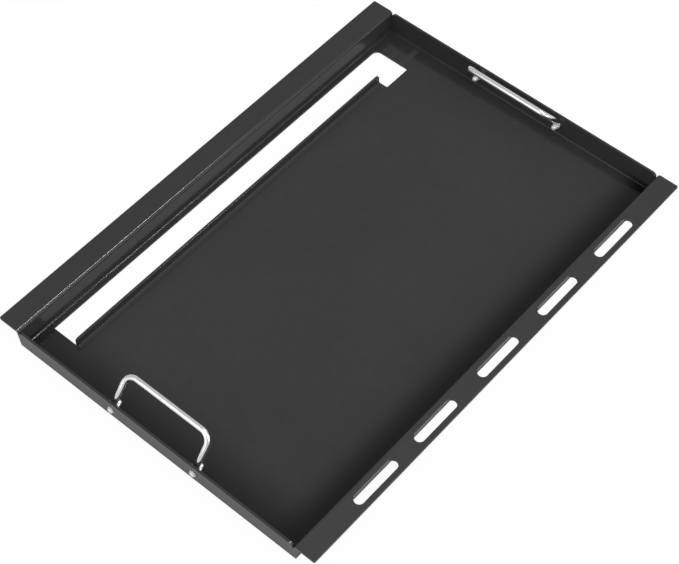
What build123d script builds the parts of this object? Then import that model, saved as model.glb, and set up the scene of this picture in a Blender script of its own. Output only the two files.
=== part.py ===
"""Griddle insert tray for a gas grill: one folded sheet-steel tray and two bolted rod handles.

Frame: millimetres, +X along the long direction, +Y to the grease slot, +Z up, z = 0 under the floor,
origin at the middle of the floor.
"""

import math
import os

from build123d import *

# Sheet and folds
SHEET = 3.0
BEND_IN = 1.5
BEND_OUT = BEND_IN + SHEET

# Tray, outside sizes; the floor sizes run to the sharp corners that the folds round off
FLOOR_LENGTH = 640.0
FLOOR_WIDTH = 406.0
TRAY_HEIGHT = 31.8
WALL_LEAN = 1.8
REAR_FLANGE_REACH = 28.6
FRONT_FLANGE_REACH = 27.1
FLANGE_CORNER_R = 2.0
END_CORNER_R = 5.5
END_NOTCH_DEPTH = 6.4
END_RELIEF = 1.0
CUT_MARGIN = 10.0

# Grease slot through the floor, its upturned lip and the wider drain notch at the right end
SLOT_END_GAP = 39.7
SLOT_REAR_GAP = 10.0
SLOT_WIDTH = 35.2
SLOT_CORNER_R = 8.0
LIP_HEIGHT = 14.0
LIP_CORNER_R = 3.5
NOTCH_LENGTH = 40.1
NOTCH_WIDTH = 50.8
NOTCH_CORNER_R = 1.5

# Five long vents through the front flange, left to right
VENT_LENGTH = 66.0
VENT_WIDTH = 12.0
VENT_INSET = 13.0
VENT_1_X = -209.7
VENT_2_X = -111.2
VENT_3_X = -3.2
VENT_4_X = 104.6
VENT_5_X = 211.0

# Rod handles
ROD_R = 3.6
ROD_BEND_R = 13.0
HANDLE_HALF_SPAN = 60.35
CROSSBAR_RISE = 23.0
HANDLE_LEAN = 39.5
LEG_FOOT_RISE = 9.0
LEG_FOOT_INSET = 5.0
LUG_THICKNESS = 3.0
LUG_WIDTH = 10.0
LUG_EDGE_R = 1.2
LUG_RISE = 5.4

# M4 fasteners
BOLT_Z = 18.0
SHANK_R = 2.0
SHANK_LENGTH = 12.4
SHANK_TIP = 0.4
HEAD_R = 3.8
HEAD_HEIGHT = 2.2
HEAD_ROUND = 1.5
SOCKET_FLATS = 2.5
SOCKET_DEPTH = 1.3
WASHER_R = 4.5
WASHER_THICKNESS = 0.8
NUT_FLATS = 7.0
NUT_HEX_HEIGHT = 3.2
NUT_HEIGHT = 8.0
NUT_DOME_R = 3.25
NUT_DOME_ROUND = 3.0
NUT_BORE_DEPTH = 5.6
NUT_CHAMFER = 0.3
THREAD_FIT = 0.05
HOLE_CLEARANCE = 0.2

# Derived
BORE_R = SHANK_R + HOLE_CLEARANCE
WALL_ANGLE = math.atan(WALL_LEAN / TRAY_HEIGHT)
WALL_RISE = math.tan(WALL_ANGLE)
WALL_SPAN = SHEET / math.cos(WALL_ANGLE)
HALF_LENGTH = FLOOR_LENGTH / 2
HALF_WIDTH = FLOOR_WIDTH / 2
NOTCH_Z = TRAY_HEIGHT - END_NOTCH_DEPTH
FLANGE_UNDER_Z = TRAY_HEIGHT - SHEET
REAR_FLANGE_Y = HALF_WIDTH + REAR_FLANGE_REACH
FRONT_FLANGE_Y = -HALF_WIDTH - FRONT_FLANGE_REACH
SLOT_HALF_LENGTH = HALF_LENGTH - SLOT_END_GAP
SLOT_REAR_Y = HALF_WIDTH - SLOT_REAR_GAP
LIP_REAR_Y = SLOT_REAR_Y - SLOT_WIDTH
NOTCH_LEFT_X = SLOT_HALF_LENGTH - NOTCH_LENGTH
NOTCH_FRONT_Y = SLOT_REAR_Y - NOTCH_WIDTH
VENT_Y = FRONT_FLANGE_Y + VENT_INSET
CUT_TOP = TRAY_HEIGHT + CUT_MARGIN
VENT_CENTRES = (VENT_1_X, VENT_2_X, VENT_3_X, VENT_4_X, VENT_5_X)
SIDES = {"left": -1, "right": 1}
STATIONS = {"front": -HANDLE_HALF_SPAN, "rear": HANDLE_HALF_SPAN}


def outer_at(half, height):
    """Outside face of a leaning wall at a height."""
    return half + height * WALL_RISE


def inner_at(half, height):
    """Inside face of a leaning wall at a height."""
    return outer_at(half, height) - WALL_SPAN


def corner(sketch, *points):
    """Vertices of a sketch nearest to the points."""
    return [sketch.vertices().sort_by_distance(Vector(*point))[0] for point in points]


# ---- tray ----
# Tops of the front and rear walls folded out into the flanges, trimmed to the lean of the end walls
with BuildPart() as flange_pair:
    for facing, flange_y in ((-1, -FRONT_FLANGE_Y), (1, REAR_FLANGE_Y)):
        with BuildSketch(Plane.YZ) as flange_profile:
            under_y = outer_at(HALF_WIDTH, FLANGE_UNDER_Z)
            brow_y = inner_at(HALF_WIDTH, TRAY_HEIGHT)
            with BuildLine():
                Polyline(
                    (facing * inner_at(HALF_WIDTH, NOTCH_Z), NOTCH_Z),
                    (facing * outer_at(HALF_WIDTH, NOTCH_Z), NOTCH_Z),
                    (facing * under_y, FLANGE_UNDER_Z),
                    (facing * flange_y, FLANGE_UNDER_Z),
                    (facing * flange_y, TRAY_HEIGHT),
                    (facing * brow_y, TRAY_HEIGHT),
                    close=True,
                )
            make_face()
            fillet(corner(flange_profile, (facing * under_y, FLANGE_UNDER_Z)), radius=BEND_IN)
            fillet(corner(flange_profile, (facing * brow_y, TRAY_HEIGHT)), radius=BEND_OUT)
        extrude(amount=HALF_LENGTH + CUT_MARGIN, both=True)
    for side in SIDES.values():
        with BuildSketch(Plane.XZ):
            with BuildLine():
                Polyline(
                    (side * outer_at(HALF_LENGTH, 0), 0),
                    (side * (HALF_LENGTH + 2 * CUT_MARGIN), 0),
                    (side * (HALF_LENGTH + 2 * CUT_MARGIN), CUT_TOP),
                    (side * outer_at(HALF_LENGTH, CUT_TOP), CUT_TOP),
                    close=True,
                )
            make_face()
        extrude(amount=FLOOR_WIDTH, both=True, mode=Mode.SUBTRACT)

# Hollow between the walls, with the inside fold around its foot
with BuildPart() as hollow:
    for height in (SHEET, CUT_TOP):
        with BuildSketch(Plane.XY.offset(height)):
            Rectangle(2 * inner_at(HALF_LENGTH, height), 2 * inner_at(HALF_WIDTH, height))
    loft(ruled=True)
    fillet(hollow.faces().sort_by(Axis.Z)[0].edges(), radius=BEND_IN)

with BuildPart() as griddle_tray:
    # Floor and four leaning walls
    for height in (0, TRAY_HEIGHT):
        with BuildSketch(Plane.XY.offset(height)):
            Rectangle(2 * outer_at(HALF_LENGTH, height), 2 * outer_at(HALF_WIDTH, height))
    loft(ruled=True)
    fillet(griddle_tray.faces().sort_by(Axis.Z)[0].edges(), radius=BEND_OUT)
    add(hollow.part, mode=Mode.SUBTRACT)

    # Tops of the front and rear walls cut off, with a relief beside each end wall
    for facing in (-1, 1):
        with BuildSketch(Plane.YZ):
            with BuildLine():
                Polyline(
                    (facing * (inner_at(HALF_WIDTH, NOTCH_Z) - END_RELIEF), NOTCH_Z),
                    (facing * FLOOR_WIDTH, NOTCH_Z),
                    (facing * FLOOR_WIDTH, CUT_TOP),
                    (facing * (inner_at(HALF_WIDTH, CUT_TOP) - END_RELIEF), CUT_TOP),
                    close=True,
                )
            make_face()
        extrude(amount=FLOOR_LENGTH, both=True, mode=Mode.SUBTRACT)
    end_corner_y = inner_at(HALF_WIDTH, TRAY_HEIGHT) - END_RELIEF
    end_corner_x = inner_at(HALF_LENGTH, TRAY_HEIGHT) + SHEET / 2
    end_corners = [
        griddle_tray.edges().sort_by_distance(Vector(side * end_corner_x, y, TRAY_HEIGHT))[0]
        for side in SIDES.values()
        for y in (-end_corner_y, end_corner_y)
    ]
    fillet(end_corners, radius=END_CORNER_R)
    add(flange_pair.part)

    # Free corners of the two flanges
    flange_mid_z = TRAY_HEIGHT - SHEET / 2
    flange_end_x = outer_at(HALF_LENGTH, flange_mid_z)
    flange_corners = [
        griddle_tray.edges().sort_by_distance(Vector(side * flange_end_x, edge_y, flange_mid_z))[0]
        for side in SIDES.values()
        for edge_y in (FRONT_FLANGE_Y, REAR_FLANGE_Y)
    ]
    fillet(flange_corners, radius=FLANGE_CORNER_R)

    # Grease slot and drain notch
    lip_bend_y = LIP_REAR_Y - BEND_OUT
    with BuildSketch() as slot_outline:
        with BuildLine():
            Polyline(
                (-SLOT_HALF_LENGTH, lip_bend_y),
                (NOTCH_LEFT_X, lip_bend_y),
                (NOTCH_LEFT_X, NOTCH_FRONT_Y),
                (SLOT_HALF_LENGTH, NOTCH_FRONT_Y),
                (SLOT_HALF_LENGTH, SLOT_REAR_Y),
                (-SLOT_HALF_LENGTH, SLOT_REAR_Y),
                close=True,
            )
        make_face()
        fillet(corner(slot_outline, (SLOT_HALF_LENGTH, SLOT_REAR_Y)), radius=SLOT_CORNER_R)
        fillet(corner(slot_outline, (NOTCH_LEFT_X, NOTCH_FRONT_Y)), radius=NOTCH_CORNER_R)
    extrude(amount=SHEET, mode=Mode.SUBTRACT)

    # Lip turned up from the floor along the front of the slot
    lip_start_x = -SLOT_HALF_LENGTH
    with BuildSketch(Plane.YZ.offset(lip_start_x)) as lip_profile:
        with BuildLine():
            Polyline(
                (lip_bend_y - SHEET, 0),
                (LIP_REAR_Y, 0),
                (LIP_REAR_Y, LIP_HEIGHT),
                (LIP_REAR_Y - SHEET, LIP_HEIGHT),
                (LIP_REAR_Y - SHEET, SHEET),
                (lip_bend_y - SHEET, SHEET),
                close=True,
            )
        make_face()
        fillet(corner(lip_profile, (LIP_REAR_Y, 0)), radius=BEND_OUT)
        fillet(corner(lip_profile, (LIP_REAR_Y - SHEET, SHEET)), radius=BEND_IN)
    extrude(amount=NOTCH_LEFT_X - lip_start_x)
    lip_corners = [
        griddle_tray.edges().sort_by_distance(Vector(end_x, LIP_REAR_Y - SHEET / 2, LIP_HEIGHT))[0]
        for end_x in (lip_start_x, NOTCH_LEFT_X)
    ]
    fillet(lip_corners, radius=LIP_CORNER_R)

    # Vents through the front flange
    with BuildSketch(Plane.XY.offset(TRAY_HEIGHT)):
        with Locations(*[(centre, VENT_Y) for centre in VENT_CENTRES]):
            SlotOverall(VENT_LENGTH, VENT_WIDTH)
    extrude(amount=-SHEET, mode=Mode.SUBTRACT)

    # Bolt holes through the end walls
    for side in SIDES.values():
        seat_normal = Vector(side * math.cos(WALL_ANGLE), 0, -math.sin(WALL_ANGLE))
        for station in STATIONS.values():
            seat_point = Vector(side * outer_at(HALF_LENGTH, BOLT_Z), station, BOLT_Z)
            with BuildSketch(Plane(origin=seat_point, x_dir=(0, 1, 0), z_dir=seat_normal)):
                Circle(BORE_R)
            extrude(amount=SHEET + BEND_IN, both=True, mode=Mode.SUBTRACT)

griddle_tray.part.label = "griddle_tray"


# ---- handles ----
lean = math.radians(HANDLE_LEAN)
leg_up = Vector(-math.sin(lean), 0, math.cos(lean))
foot_z = BOLT_Z + LEG_FOOT_RISE
foot_middle = Vector(inner_at(HALF_LENGTH, foot_z) - LEG_FOOT_INSET, 0, foot_z)
leg_length = (TRAY_HEIGHT + CROSSBAR_RISE - foot_z) / math.cos(lean)
crossbar_middle = foot_middle + leg_up * leg_length
handle_plane = Plane(origin=crossbar_middle, x_dir=(0, 1, 0), z_dir=Vector(0, 1, 0).cross(leg_up))
wall_up = Vector(math.sin(WALL_ANGLE), 0, math.cos(WALL_ANGLE))
wall_inward = Vector(-math.cos(WALL_ANGLE), 0, math.sin(WALL_ANGLE))

with BuildPart() as right_handle:
    # Rod bent into a U
    with BuildLine(handle_plane) as rod_line:
        FilletPolyline(
            (-HANDLE_HALF_SPAN, -leg_length),
            (-HANDLE_HALF_SPAN, 0),
            (HANDLE_HALF_SPAN, 0),
            (HANDLE_HALF_SPAN, -leg_length),
            radius=ROD_BEND_R,
        )
    rod_start = foot_middle - Vector(0, HANDLE_HALF_SPAN, 0)
    with BuildSketch(Plane(origin=rod_start, x_dir=(0, 1, 0), z_dir=leg_up)):
        Circle(ROD_R)
    sweep(path=rod_line.line)

    # Each end pressed flat into a lug against the inside of the end wall
    for station in STATIONS.values():
        bolt_point = Vector(inner_at(HALF_LENGTH, BOLT_Z), station, BOLT_Z)
        leg_end = foot_middle + Vector(0, station, 0)
        lug_top = bolt_point + wall_up * LUG_RISE + wall_inward * (LUG_THICKNESS / 2)
        with BuildSketch(Plane(origin=lug_top, x_dir=(0, 1, 0), z_dir=wall_up)):
            RectangleRounded(LUG_WIDTH, LUG_THICKNESS, LUG_EDGE_R)
        with BuildSketch(Plane(origin=leg_end, x_dir=(0, 1, 0), z_dir=leg_up)):
            Circle(ROD_R)
        loft()
        lug_face = Plane(origin=bolt_point, x_dir=(0, 1, 0), z_dir=wall_inward)
        with BuildSketch(lug_face):
            Circle(LUG_WIDTH / 2)
            with Locations((0, -LUG_RISE / 2)):
                Rectangle(LUG_WIDTH, LUG_RISE)
        extrude(amount=LUG_THICKNESS)
        with BuildSketch(lug_face):
            Circle(BORE_R)
        extrude(amount=LUG_THICKNESS, mode=Mode.SUBTRACT)

with BuildPart() as left_handle:
    mirror(right_handle.part, about=Plane.YZ)

right_handle.part.label = "right_handle"
left_handle.part.label = "left_handle"


# ---- fasteners ----
def make_bolt(seat, label):
    """Button-head bolt, its head on a washer on the wall's outside face."""
    with BuildPart() as bolt:
        with BuildSketch(seat.offset(WASHER_THICKNESS)):
            Circle(HEAD_R)
        extrude(amount=HEAD_HEIGHT)
        fillet(bolt.faces().sort_by(Axis(seat.origin, seat.z_dir))[-1].edges(), radius=HEAD_ROUND)
        with BuildSketch(seat.offset(WASHER_THICKNESS + HEAD_HEIGHT)):
            RegularPolygon(radius=SOCKET_FLATS / 2, side_count=6, major_radius=False)
        extrude(amount=-SOCKET_DEPTH, mode=Mode.SUBTRACT)
        with BuildSketch(seat.offset(WASHER_THICKNESS)):
            Circle(SHANK_R)
        extrude(amount=-SHANK_LENGTH)
        chamfer(bolt.faces().sort_by(Axis(seat.origin, seat.z_dir))[0].edges(), length=SHANK_TIP)
    bolt.part.label = label
    return bolt.part


def make_washer(seat, label):
    """Flat washer lying on a plane."""
    with BuildPart() as washer:
        with BuildSketch(seat):
            Circle(WASHER_R)
            Circle(BORE_R, mode=Mode.SUBTRACT)
        extrude(amount=WASHER_THICKNESS)
    washer.part.label = label
    return washer.part


def make_cap_nut(seat, label):
    """Domed cap nut standing on a plane, with a blind bore."""
    with BuildPart() as nut:
        with BuildSketch(seat):
            RegularPolygon(radius=NUT_FLATS / 2, side_count=6, major_radius=False)
        extrude(amount=NUT_HEX_HEIGHT)
        chamfer(nut.faces().sort_by(Axis(seat.origin, seat.z_dir))[0].edges(), length=NUT_CHAMFER)
        with BuildSketch(seat.offset(NUT_HEX_HEIGHT)):
            Circle(NUT_DOME_R)
        extrude(amount=NUT_HEIGHT - NUT_HEX_HEIGHT)
        fillet(nut.faces().sort_by(Axis(seat.origin, seat.z_dir))[-1].edges(), radius=NUT_DOME_ROUND)
        with BuildSketch(seat):
            Circle(SHANK_R + THREAD_FIT)
        extrude(amount=NUT_BORE_DEPTH, mode=Mode.SUBTRACT)
    nut.part.label = label
    return nut.part


fasteners = []
for side_name, side in SIDES.items():
    outward = Vector(side * math.cos(WALL_ANGLE), 0, -math.sin(WALL_ANGLE))
    for station_name, station in STATIONS.items():
        prefix = f"{side_name}_handle_{station_name}"
        outside = Plane(
            origin=Vector(side * outer_at(HALF_LENGTH, BOLT_Z), station, BOLT_Z),
            x_dir=(0, 1, 0),
            z_dir=outward,
        )
        lug_inside = Plane(
            origin=outside.origin - outward * (SHEET + LUG_THICKNESS),
            x_dir=(0, 1, 0),
            z_dir=outward * -1,
        )
        fasteners.append(make_bolt(outside, f"{prefix}_bolt"))
        fasteners.append(make_washer(outside, f"{prefix}_outer_washer"))
        fasteners.append(make_washer(lug_inside, f"{prefix}_inner_washer"))
        fasteners.append(make_cap_nut(lug_inside.offset(WASHER_THICKNESS), f"{prefix}_cap_nut"))


os.makedirs("parts", exist_ok=True)
for piece in (griddle_tray.part, left_handle.part, right_handle.part, *fasteners):
    export_step(piece, f"parts/{piece.label}.step")
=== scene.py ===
import math

import bpy
from mathutils import Matrix, Vector


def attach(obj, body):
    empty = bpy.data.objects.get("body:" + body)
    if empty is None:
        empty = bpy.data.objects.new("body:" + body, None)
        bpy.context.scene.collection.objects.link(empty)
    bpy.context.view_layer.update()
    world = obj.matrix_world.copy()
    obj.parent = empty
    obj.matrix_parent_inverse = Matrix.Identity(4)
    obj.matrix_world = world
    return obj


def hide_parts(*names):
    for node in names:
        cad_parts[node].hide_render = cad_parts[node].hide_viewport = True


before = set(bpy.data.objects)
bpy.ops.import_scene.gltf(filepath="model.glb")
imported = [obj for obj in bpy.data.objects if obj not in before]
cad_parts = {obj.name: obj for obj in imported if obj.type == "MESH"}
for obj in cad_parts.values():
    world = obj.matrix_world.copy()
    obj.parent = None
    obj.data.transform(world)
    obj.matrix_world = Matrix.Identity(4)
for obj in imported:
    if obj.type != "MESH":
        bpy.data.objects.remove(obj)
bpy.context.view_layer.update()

# Camera: place, lens, and the unit vectors of its right, down and forward directions
CAMERA_AT = Vector((-0.96004, -0.80930, 1.68831))
CAMERA_RIGHT = Vector((0.65188, -0.75832, 0.00127))
CAMERA_DOWN = Vector((-0.61164, -0.52677, -0.59026))
CAMERA_FORWARD = Vector((0.44828, 0.38400, -0.80721))
CAMERA_LENS = 97.258
CAMERA_NEAR = 0.05
CAMERA_FAR = 30.0

# Studio: floor, surrounding light, and lamps (name, place, width, depth, watts), all of
# them aimed at the middle of the tray
FLOOR_SIZE = 12.0
FLOOR_DROP = 0.0004
FLOOR_GREY = 0.85
FLOOR_SEEN_WHITE = 0.90
FLOOR_MIRRORED_WHITE = 0.10
FLOOR_WHITE_STRENGTH = 1.04
WORLD_SEEN = 1.0
WORLD_MIRRORED = 0.54
WORLD_FILL = 0.54
LAMPS = [
    ("front_low_softbox", (0.6, -1.5, 0.55), 1.5, 0.3, 6.4),
    ("front_high_softbox", (0.1, -1.3, 1.6), 1.2, 0.9, 7.2),
    ("left_low_softbox", (-1.6, 0.2, 0.6), 1.4, 0.8, 2.8),
    ("left_high_softbox", (-1.4, 0.3, 1.5), 1.2, 0.9, 5.2),
    ("overhead_strip", (3.5, -1.56, 12.0), 0.5, 4.8, 900.0),
]
# The strip is seen only as glints along the bends, and takes no part in the even light
GLINTS_ONLY = ("overhead_strip",)

# Eased edges, in metres: width on the sheet, on the vents' upper rims and on the fittings
SHEET_EDGE = 0.0003
VENT_EDGE = 0.0010
FITTING_EDGE = 0.00015
EASE_SEGMENTS = 2
# The vents' upper rims lie between these two lines across the tray, above this height
VENT_ROW_Y = (-0.2236, -0.2106)
VENT_RIM_Z = 0.0317
# Points closer than this are one point, and none goes below the underside of the floor
MERGE = 1e-5
LOWEST = 0.0
# Angles in degrees: nearly flat neighbours are joined, sharper corners are eased, and
# gentler ones than the last two are shaded smooth
FLAT = 0.5
SHEET_SHARP = 50.0
ROD_SHARP = 50.0
FITTING_SHARP = 40.0
SHEET_SMOOTH = 20.0
FITTING_SMOOTH = 35.0

TRAY = "griddle_tray"
HANDLES = ("left_handle", "right_handle")
ENDS = ("front", "rear")
FITTINGS = ("bolt", "outer_washer", "inner_washer", "cap_nut")


def select_only(obj):
    if bpy.context.object and bpy.context.object.mode != "OBJECT":
        bpy.ops.object.mode_set(mode="OBJECT")
    bpy.ops.object.select_all(action="DESELECT")
    obj.select_set(True)
    bpy.context.view_layer.objects.active = obj


# --- pieces -------------------------------------------------------------------------------

def chamfer_vent_rims(piece):
    """Chamfers the upper rims of the five vents, which are broken wider than other edges."""
    select_only(piece)
    bpy.ops.object.mode_set(mode="EDIT")
    bpy.ops.mesh.select_mode(type="EDGE")
    bpy.ops.mesh.select_all(action="DESELECT")
    bpy.ops.object.mode_set(mode="OBJECT")
    points = piece.data.vertices
    for edge in piece.data.edges:
        ends = [points[i].co for i in edge.vertices]
        edge.select = all(
            end.z > VENT_RIM_Z and VENT_ROW_Y[0] < end.y < VENT_ROW_Y[1] for end in ends
        )
    bpy.ops.object.mode_set(mode="EDIT")
    bpy.ops.mesh.bevel(offset=VENT_EDGE, segments=1, affect="EDGES")
    bpy.ops.object.mode_set(mode="OBJECT")


def softened(node, name, width, sharp_from, flat_sides, smooth_to):
    """A copy of a CAD solid, merged, with its sharp edges eased."""
    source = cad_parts[node]
    piece = source.copy()
    piece.data = source.data.copy()
    piece.name = name
    piece.data.name = name
    piece.parent = None
    bpy.context.scene.collection.objects.link(piece)
    select_only(piece)
    if piece.data.has_custom_normals:
        bpy.ops.mesh.customdata_custom_splitnormals_clear()
    bpy.ops.object.mode_set(mode="EDIT")
    bpy.ops.mesh.select_all(action="SELECT")
    bpy.ops.mesh.remove_doubles(threshold=MERGE)
    if flat_sides:
        bpy.ops.mesh.dissolve_limited(angle_limit=math.radians(FLAT))
    bpy.ops.object.mode_set(mode="OBJECT")
    if node == TRAY:
        chamfer_vent_rims(piece)
    ease = piece.modifiers.new("eased_edges", "BEVEL")
    ease.width = width
    ease.segments = EASE_SEGMENTS
    ease.limit_method = "ANGLE"
    ease.angle_limit = math.radians(sharp_from)
    ease.use_clamp_overlap = False
    ease.miter_outer = "MITER_SHARP"
    bpy.ops.object.modifier_apply(modifier=ease.name)
    bpy.ops.object.shade_smooth_by_angle(angle=math.radians(smooth_to))
    for vertex in piece.data.vertices:
        vertex.co.z = max(vertex.co.z, LOWEST)
    return piece


def finish_piece(piece, node, material):
    piece.data.materials.clear()
    piece.data.materials.append(material)
    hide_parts(node)
    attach(piece, "root")


# --- materials ----------------------------------------------------------------------------

# The middle part of a noise's values, taken wide or narrow
NOISE_WIDE = (0.3, 0.7)
NOISE_NARROW = (0.35, 0.65)
# Where the black coating changes, from one place to the other in metres, including the
# painted shade along the front and left wall feet and the painted light on the front flange
FRONT_FOOT_SHADE_Y = (-0.192, -0.148)
LEFT_FOOT_SHADE_X = (-0.322, -0.245)
OFF_FLOOR_Z = (0.005, 0.012)
FRONT_FLANGE_Y = (-0.206, -0.203)
FLANGE_LIGHT_X = (-0.32, 0.32)
LIP_END_X = (-0.281, -0.280)
LIP_FRONT_Y = (0.1490, 0.1505)
LIP_BACK_Y = (0.156, 0.158)
LIP_FOLD_Z = (0.006, 0.008)


def worked_out(tree, operation, first, second):
    """The result of a Math node whose two inputs are numbers or other nodes' outputs."""
    node = tree.nodes.new("ShaderNodeMath")
    node.operation = operation
    for socket, value in zip(node.inputs, (first, second)):
        if isinstance(value, (int, float)):
            socket.default_value = value
        else:
            tree.links.new(value, socket)
    return node.outputs["Value"]


class Nodes:
    """A small helper that adds and links the nodes of one material."""

    def __init__(self, name):
        self.material = bpy.data.materials.new(name)
        self.material.use_nodes = True
        self.tree = self.material.node_tree
        self.shader = self.tree.nodes["Principled BSDF"]
        self.place = self.tree.nodes.new("ShaderNodeTexCoord").outputs["Object"]

    def add(self, kind, **values):
        node = self.tree.nodes.new(kind)
        for key, value in values.items():
            setattr(node, key, value)
        return node

    def link(self, source, target):
        self.tree.links.new(source, target)

    def noise(self, scale, detail, roughness=0.5):
        node = self.add("ShaderNodeTexNoise")
        node.inputs["Scale"].default_value = scale
        node.inputs["Detail"].default_value = detail
        node.inputs["Roughness"].default_value = roughness
        self.link(self.place, node.inputs["Vector"])
        return node.outputs["Fac"]

    def spread(self, value, low, high, to_low, to_high, smooth=False):
        """Runs from to_low to to_high while the value runs from low to high."""
        node = self.add("ShaderNodeMapRange")
        node.interpolation_type = "SMOOTHSTEP" if smooth else "LINEAR"
        self.link(value, node.inputs["Value"])
        node.inputs["From Min"].default_value = low
        node.inputs["From Max"].default_value = high
        node.inputs["To Min"].default_value = to_low
        node.inputs["To Max"].default_value = to_high
        return node.outputs["Result"]

    def times(self, first, second):
        return worked_out(self.tree, "MULTIPLY", first, second)

    def plus(self, first, second):
        return worked_out(self.tree, "ADD", first, second)

    def larger(self, first, second):
        return worked_out(self.tree, "MAXIMUM", first, second)

    def ramp(self, value, low_colour, high_colour):
        """One colour where the value is low and another where it is high."""
        node = self.add("ShaderNodeValToRGB")
        stops = zip(node.color_ramp.elements, NOISE_NARROW, (low_colour, high_colour))
        for stop, position, colour in stops:
            stop.position = position
            stop.color = (*colour, 1)
        self.link(value, node.inputs["Fac"])
        return node.outputs["Color"]

    def shade(self, colour, amount):
        """The colour times a grey amount that varies over the surface."""
        node = self.add("ShaderNodeMix", data_type="RGBA", blend_type="MULTIPLY")
        node.inputs["Factor"].default_value = 1.0
        self.link(colour, node.inputs["A"])
        self.link(amount, node.inputs["B"])
        return node.outputs["Result"]

    def bump(self, height, strength, distance, below=None):
        node = self.add("ShaderNodeBump")
        node.inputs["Strength"].default_value = strength
        node.inputs["Distance"].default_value = distance
        self.link(height, node.inputs["Height"])
        if below:
            self.link(below, node.inputs["Normal"])
        return node.outputs["Normal"]

    def finish(self, colour, roughness, normal):
        self.link(colour, self.shader.inputs["Base Color"])
        self.link(roughness, self.shader.inputs["Roughness"])
        self.link(normal, self.shader.inputs["Normal"])
        return self.material


def black_coating():
    """Satin heat-proof black on the folded sheet: fine grain, slight orange peel."""
    n = Nodes("satin_black_coating")
    n.shader.inputs["Metallic"].default_value = 0.0
    n.shader.inputs["IOR"].default_value = 1.36
    split = n.add("ShaderNodeSeparateXYZ")
    n.link(n.place, split.inputs["Vector"])
    x, y, z = (split.outputs[axis] for axis in "XYZ")
    broad = n.noise(7.0, 3.0)
    grain = n.noise(1100.0, 2.0, 0.6)
    blotch = n.noise(90.0, 4.0, 0.55)
    colour = n.ramp(broad, (0.0385, 0.0386, 0.0389), (0.0415, 0.0416, 0.0419))
    colour = n.shade(colour, n.spread(grain, *NOISE_WIDE, 0.86, 1.14))
    colour = n.shade(colour, n.spread(blotch, *NOISE_NARROW, 0.97, 1.03))
    # painted shade: the floor's colour is darkened along the feet of the front and left
    # walls, where the walls shade it
    front_foot_painted_shade = n.spread(y, *FRONT_FOOT_SHADE_Y, 0.05, 1.0, smooth=True)
    left_foot_painted_shade = n.spread(x, *LEFT_FOOT_SHADE_X, 0.25, 1.0, smooth=True)
    off_floor = n.spread(z, *OFF_FLOOR_Z, 0.0, 1.0)
    colour = n.shade(colour, n.larger(n.times(front_foot_painted_shade, left_foot_painted_shade), off_floor))
    # painted light: the front flange's colour is lightened, most of all at its left end
    on_front_flange = n.spread(y, *FRONT_FLANGE_Y, 1.0, 0.0)
    painted_light = n.spread(x, *FLANGE_LIGHT_X, 0.32, 0.06)
    colour = n.shade(colour, n.plus(n.times(on_front_flange, painted_light), 1.0))
    rough = n.spread(n.noise(60.0, 3.0), *NOISE_WIDE, 0.13, 0.165)
    rough = n.plus(rough, n.spread(grain, *NOISE_WIDE, -0.01, 0.01))
    # the coating is duller in the fold at the foot of the grease lip
    past_lip_end = n.spread(x, *LIP_END_X, 0.0, 1.0)
    near_lip = n.times(n.spread(y, *LIP_FRONT_Y, 0.0, 1.0), past_lip_end)
    near_lip = n.times(near_lip, n.spread(y, *LIP_BACK_Y, 1.0, 0.0))
    in_fold = n.times(near_lip, n.spread(z, *LIP_FOLD_Z, 0.6, 0.0))
    rough = n.larger(rough, in_fold)
    peel = n.bump(n.noise(330.0, 2.0), 0.15, 0.00003)
    fine = n.bump(grain, 0.10, 0.00002, below=peel)
    return n.finish(colour, rough, fine)


def polished_rod():
    """Bright polished steel rod: faint polishing haze and fine scratches."""
    n = Nodes("polished_handle_steel")
    n.shader.inputs["Metallic"].default_value = 1.0
    haze = n.noise(45.0, 3.0)
    scratch = n.noise(900.0, 3.0, 0.65)
    colour = n.ramp(haze, (0.86, 0.862, 0.868), (0.92, 0.921, 0.925))
    rough = n.spread(haze, *NOISE_WIDE, 0.15, 0.20)
    rough = n.plus(rough, n.spread(scratch, *NOISE_NARROW, -0.01, 0.02))
    wave = n.bump(n.noise(60.0, 1.0), 0.30, 0.00006)
    fine = n.bump(scratch, 0.15, 0.00001, below=wave)
    return n.finish(colour, rough, fine)


def fastener_plate():
    """Bright plated steel of the bolts, washers and cap nuts."""
    n = Nodes("plated_fastener_steel")
    n.shader.inputs["Metallic"].default_value = 0.6
    cloud = n.noise(350.0, 3.0)
    speck = n.noise(2500.0, 2.0, 0.6)
    colour = n.ramp(cloud, (0.88, 0.883, 0.89), (0.95, 0.95, 0.952))
    rough = n.spread(cloud, *NOISE_WIDE, 0.32, 0.40)
    rough = n.plus(rough, n.spread(speck, *NOISE_NARROW, -0.01, 0.03))
    fine = n.bump(speck, 0.2, 0.00001)
    return n.finish(colour, rough, fine)


# --- studio -------------------------------------------------------------------------------

def ray_weights(tree, seen, mirrored, otherwise):
    """otherwise, raised to mirrored for glossy and clear rays and to seen for the camera."""
    rays = tree.nodes.new("ShaderNodeLightPath").outputs
    clear = worked_out(tree, "MAXIMUM", rays["Is Glossy Ray"], rays["Is Transmission Ray"])
    weight = worked_out(tree, "MULTIPLY", clear, mirrored - otherwise)
    weight = worked_out(tree, "ADD", weight, otherwise)
    camera = worked_out(tree, "MULTIPLY", rays["Is Camera Ray"], seen)
    return worked_out(tree, "MAXIMUM", weight, camera)


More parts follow.
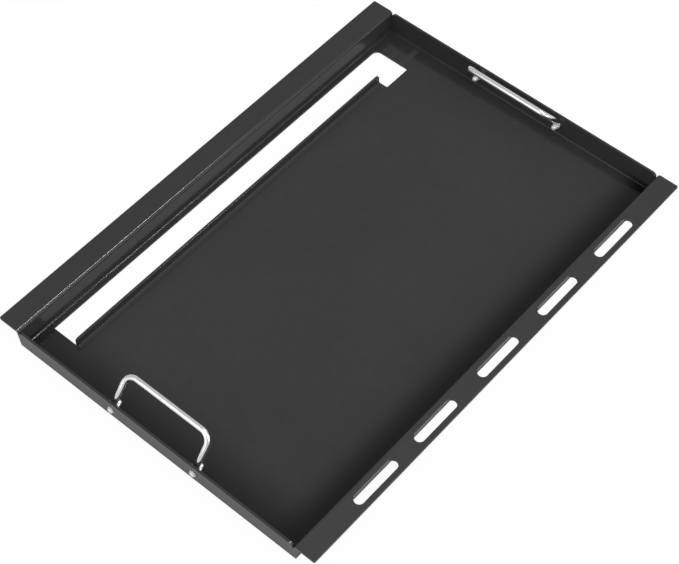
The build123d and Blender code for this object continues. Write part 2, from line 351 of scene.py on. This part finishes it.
def studio_floor():
    bpy.ops.object.select_all(action="DESELECT")
    bpy.ops.mesh.primitive_plane_add(size=FLOOR_SIZE, location=(0, 0, -FLOOR_DROP))
    floor = bpy.context.object
    floor.name = "studio_floor"
    material = bpy.data.materials.new("white_floor")
    material.use_nodes = True
    tree = material.node_tree
    tree.nodes.clear()
    out = tree.nodes.new("ShaderNodeOutputMaterial")
    matt = tree.nodes.new("ShaderNodeBsdfDiffuse")
    matt.inputs["Color"].default_value = (FLOOR_GREY, FLOOR_GREY, FLOOR_GREY, 1)
    white = tree.nodes.new("ShaderNodeEmission")
    white.inputs["Color"].default_value = (1, 1, 1, 1)
    white.inputs["Strength"].default_value = FLOOR_WHITE_STRENGTH
    mix = tree.nodes.new("ShaderNodeMixShader")
    weight = ray_weights(tree, FLOOR_SEEN_WHITE, FLOOR_MIRRORED_WHITE, 0.0)
    tree.links.new(weight, mix.inputs["Fac"])
    tree.links.new(matt.outputs["BSDF"], mix.inputs[1])
    tree.links.new(white.outputs["Emission"], mix.inputs[2])
    tree.links.new(mix.outputs["Shader"], out.inputs["Surface"])
    floor.data.materials.append(material)


def studio_world():
    world = bpy.data.worlds.new("studio_world")
    bpy.context.scene.world = world
    world.use_nodes = True
    tree = world.node_tree
    background = tree.nodes["Background"]
    background.inputs["Color"].default_value = (1, 1, 1, 1)
    weight = ray_weights(tree, WORLD_SEEN, WORLD_MIRRORED, WORLD_FILL)
    tree.links.new(weight, background.inputs["Strength"])


def add_lamp(name, place, width, depth, watts):
    data = bpy.data.lights.new(name, "AREA")
    data.shape = "RECTANGLE"
    data.size = width
    data.size_y = depth
    data.energy = watts
    lamp = bpy.data.objects.new(name, data)
    bpy.context.scene.collection.objects.link(lamp)
    lamp.visible_diffuse = name not in GLINTS_ONLY
    turn = (-Vector(place)).to_track_quat("-Z", "Y").to_matrix().to_4x4()
    lamp.matrix_world = Matrix.Translation(place) @ turn


def add_camera():
    data = bpy.data.cameras.new("camera")
    data.lens = CAMERA_LENS
    data.clip_start = CAMERA_NEAR
    data.clip_end = CAMERA_FAR
    camera = bpy.data.objects.new("camera", data)
    bpy.context.scene.collection.objects.link(camera)
    turn = Matrix((CAMERA_RIGHT, -CAMERA_DOWN, -CAMERA_FORWARD)).transposed().to_quaternion()
    camera.location = CAMERA_AT
    camera.rotation_mode = "QUATERNION"
    camera.rotation_quaternion = turn
    bpy.context.scene.camera = camera


# --- the object ---------------------------------------------------------------------------

coating = black_coating()
rod_steel = polished_rod()
plated_steel = fastener_plate()

tray = softened(TRAY, "folded_sheet_tray", SHEET_EDGE, SHEET_SHARP, True, SHEET_SMOOTH)
finish_piece(tray, TRAY, coating)

for handle in HANDLES:
    rod = softened(handle, handle + "_rod", FITTING_EDGE, ROD_SHARP, False, FITTING_SMOOTH)
    # the satin floor shows no mirror line of the thin rod
    rod.visible_glossy = False
    finish_piece(rod, handle, rod_steel)
    for end in ENDS:
        for part in FITTINGS:
            node = handle + "_" + end + "_" + part
            fitting = softened(
                node, node + "_eased", FITTING_EDGE, FITTING_SHARP, True, FITTING_SMOOTH
            )
            finish_piece(fitting, node, plated_steel)

studio_floor()
studio_world()
for lamp in LAMPS:
    add_lamp(*lamp)
add_camera()
bpy.context.scene.view_settings.view_transform = "Standard"
